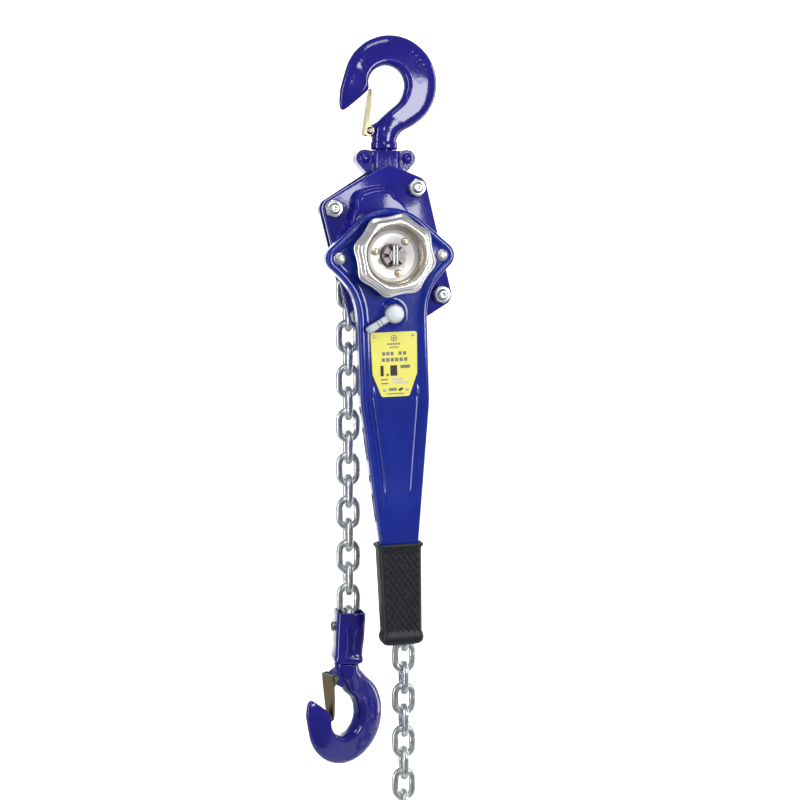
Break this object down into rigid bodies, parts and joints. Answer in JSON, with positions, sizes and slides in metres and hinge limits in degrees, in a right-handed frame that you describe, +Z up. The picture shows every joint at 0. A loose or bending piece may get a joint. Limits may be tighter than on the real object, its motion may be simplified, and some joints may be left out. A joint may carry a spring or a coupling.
{
  "type": "lever chain hoist",
  "caption": "Hand-operated lever hoist with a swivelling top hook, load chain over an enclosed sheave, free-chain hand wheel and latched bottom hook.",
  "frame": {"origin": "seat of the top hook's bowl, where the hoist hangs", "axes": "+Z up; +Y away from the operator; +X to the operator's right"},
  "size_m": [0.1635, 0.156, 0.8792],
  "materials": {
    "blue_paint": "deep glossy blue paint over forged or pressed steel",
    "lever_paint": "bright glossy blue paint over pressed steel",
    "zinc": "bright zinc plating",
    "chrome": "polished chrome",
    "chain_steel": "galvanised",
    "cast_metal": "bead-blasted casting",
    "dark_steel": "blackened",
    "steel": "machined and oiled",
    "friction_lining": "sintered brake lining",
    "gold_zinc": "yellow zinc plating",
    "black_rubber": "moulded, matt",
    "yellow_plate": "yellow enamel"
  },
  "bodies": {
    "hanger": {"top_hook": "blue_paint", "top_latch_pin": "dark_steel"},
    "hanger_latch": {"top_latch": "gold_zinc"},
    "suspension_yoke": {"top_yoke_front": "blue_paint", "top_yoke_rear": "blue_paint", "top_yoke_rivet_left": "blue_paint", "top_yoke_rivet_right": "blue_paint", "top_pin": "steel"},
    "housing": {"front_side_plate": "blue_paint", "rear_side_plate": "blue_paint", "sheave_bearing_front": "steel", "sheave_bearing_rear": "steel", "brake_cover": "blue_paint", "gear_case": "blue_paint", "chain_guide": "steel", "stay_bolt_1": "zinc", "stay_bolt_2": "zinc", "stay_bolt_3": "zinc", "cover_stud": "zinc", "gear_case_screw": "zinc", "stay_nut_1": "zinc", "stay_nut_2": "zinc", "stay_nut_3": "zinc", "stay_nut_4": "zinc"},
    "drive_shaft": {"pinion_shaft": "steel", "disc_hub": "steel", "friction_disc_rear": "friction_lining", "friction_disc_front": "friction_lining", "change_gear": "steel", "castle_nut": "dark_steel", "cotter_pin": "zinc"},
    "ratchet_wheel": {"ratchet_disc": "steel"},
    "ratchet_pawl_a": {"pawl_1": "dark_steel"},
    "ratchet_pawl_b": {"pawl_2": "dark_steel"},
    "free_wheel": {"hand_wheel": "chrome", "wheel_screw_1": "gold_zinc", "wheel_screw_2": "gold_zinc", "wheel_screw_3": "gold_zinc"},
    "operating_lever": {"lever_front_shell": "lever_paint", "lever_rear_shell": "lever_paint", "lever_screw_left": "zinc", "lever_screw_right": "zinc", "grip": "black_rubber", "nameplate": "yellow_plate"},
    "selector": {"selector_knob": "cast_metal", "changeover_pawl": "dark_steel"},
    "chain_wheel": {"load_sheave": "steel", "load_gear": "steel", "chain_on_sheave": "chain_steel"},
    "stage_gear_a": {"gear_a": "steel"},
    "stage_gear_b": {"gear_b": "steel"},
    "load_chain": {"chain_hook_side": "chain_steel"},
    "slack_chain": {"chain_slack_side": "chain_steel"},
    "chain_stop": {"tail_ring": "zinc"},
    "load_yoke": {"bottom_yoke_left": "blue_paint", "bottom_yoke_right": "blue_paint", "bottom_bolt": "dark_steel"},
    "load_hook": {"bottom_hook": "blue_paint", "bottom_latch_pin": "dark_steel"},
    "load_hook_latch": {"bottom_latch": "gold_zinc"}
  },
  "joints": [
    {"name": "hook_swivel", "type": "hinge", "parent": "hanger", "child": "suspension_yoke", "pos_m": [-0.0022, 0, -0.095], "axis": [0, 0, 1], "continuous": true},
    {"name": "top_latch_hinge", "type": "hinge", "parent": "hanger", "child": "hanger_latch", "pos_m": [-0.019, 0, -0.0695], "axis": [0, 1, 0], "range_deg": [0, 25], "stiffness_Nm_per_rad": 0.02, "springref_deg": -28.65},
    {"name": "housing_swing", "type": "hinge", "parent": "suspension_yoke", "child": "housing", "pos_m": [-0.0022, 0, -0.13], "axis": [0, 1, 0], "range_deg": [-12, 12]},
    {"name": "drive_turn", "type": "hinge", "parent": "housing", "child": "drive_shaft", "pos_m": [-0.0113, 0, -0.203], "axis": [0, 1, 0], "range_deg": [-90, 90]},
    {"name": "free_wheel_pull", "type": "slide", "parent": "drive_shaft", "child": "free_wheel", "axis": [0, -1, 0], "range_m": [0, 0.005]},
    {"name": "ratchet_play", "type": "hinge", "parent": "housing", "child": "ratchet_wheel", "pos_m": [-0.0113, 0, -0.203], "axis": [0, 1, 0], "range_deg": [-0.5, 1]},
    {"name": "pawl_a_lift", "type": "hinge", "parent": "housing", "child": "ratchet_pawl_a", "pos_m": [0.01637, 0, -0.1714], "axis": [0, 1, 0], "range_deg": [0, 12], "stiffness_Nm_per_rad": 0.01, "springref_deg": -28.65},
    {"name": "pawl_b_lift", "type": "hinge", "parent": "housing", "child": "ratchet_pawl_b", "pos_m": [-0.03896, 0, -0.2346], "axis": [0, 1, 0], "range_deg": [0, 12], "stiffness_Nm_per_rad": 0.01, "springref_deg": -28.65},
    {"name": "lever_turn", "type": "hinge", "parent": "housing", "child": "operating_lever", "pos_m": [-0.0113, 0, -0.203], "axis": [0, 1, 0], "continuous": true},
    {"name": "selector_turn", "type": "hinge", "parent": "operating_lever", "child": "selector", "pos_m": [-0.00929, 0, -0.26347], "axis": [0, 1, 0], "range_deg": [-14, 14]},
    {"name": "gear_a_turn", "type": "hinge", "parent": "housing", "child": "stage_gear_a", "pos_m": [-0.01931, 0, -0.17037], "axis": [0, 1, 0], "range_deg": [-36.5, 36.5]},
    {"name": "gear_b_turn", "type": "hinge", "parent": "housing", "child": "stage_gear_b", "pos_m": [-0.00329, 0, -0.23563], "axis": [0, 1, 0], "range_deg": [-36.5, 36.5]},
    {"name": "sheave_turn", "type": "hinge", "parent": "housing", "child": "chain_wheel", "pos_m": [-0.0113, 0, -0.203], "axis": [0, 1, 0], "range_deg": [-14.9, 14.9]},
    {"name": "load_chain_lift", "type": "slide", "parent": "housing", "child": "load_chain", "axis": [0, 0, 1], "range_m": [-0.00788, 0.00788]},
    {"name": "slack_chain_lower", "type": "slide", "parent": "housing", "child": "slack_chain", "axis": [0, 0, -1], "range_m": [-0.00788, 0.00788]},
    {"name": "tail_ring_swing", "type": "hinge", "parent": "slack_chain", "child": "chain_stop", "pos_m": [0.01987, 0, -0.82691], "axis": [0, 1, 0], "range_deg": [-20, 20]},
    {"name": "load_yoke_swing", "type": "hinge", "parent": "load_chain", "child": "load_yoke", "pos_m": [-0.0422, 0, -0.608], "axis": [0.998, 0, -0.0628], "range_deg": [-5, 5]},
    {"name": "load_hook_swivel", "type": "hinge", "parent": "load_yoke", "child": "load_hook", "pos_m": [-0.0422, 0, -0.608], "axis": [0.0628, 0, 0.998], "continuous": true},
    {"name": "bottom_latch_hinge", "type": "hinge", "parent": "load_hook", "child": "load_hook_latch", "pos_m": [-0.06413, -0.00986, -0.66123], "axis": [0.4685, -0.8829, -0.0295], "range_deg": [0, 25], "stiffness_Nm_per_rad": 0.02, "springref_deg": -28.65}
  ],
  "couplings": [
    {"joint": "gear_a_turn", "follows": "drive_turn", "ratio": -0.4},
    {"joint": "gear_b_turn", "follows": "drive_turn", "ratio": -0.4},
    {"joint": "sheave_turn", "follows": "drive_turn", "ratio": 0.16},
    {"joint": "load_chain_lift", "follows": "drive_turn", "m_per_rad": 0.00489},
    {"joint": "slack_chain_lower", "follows": "drive_turn", "m_per_rad": 0.00489}
  ]
}
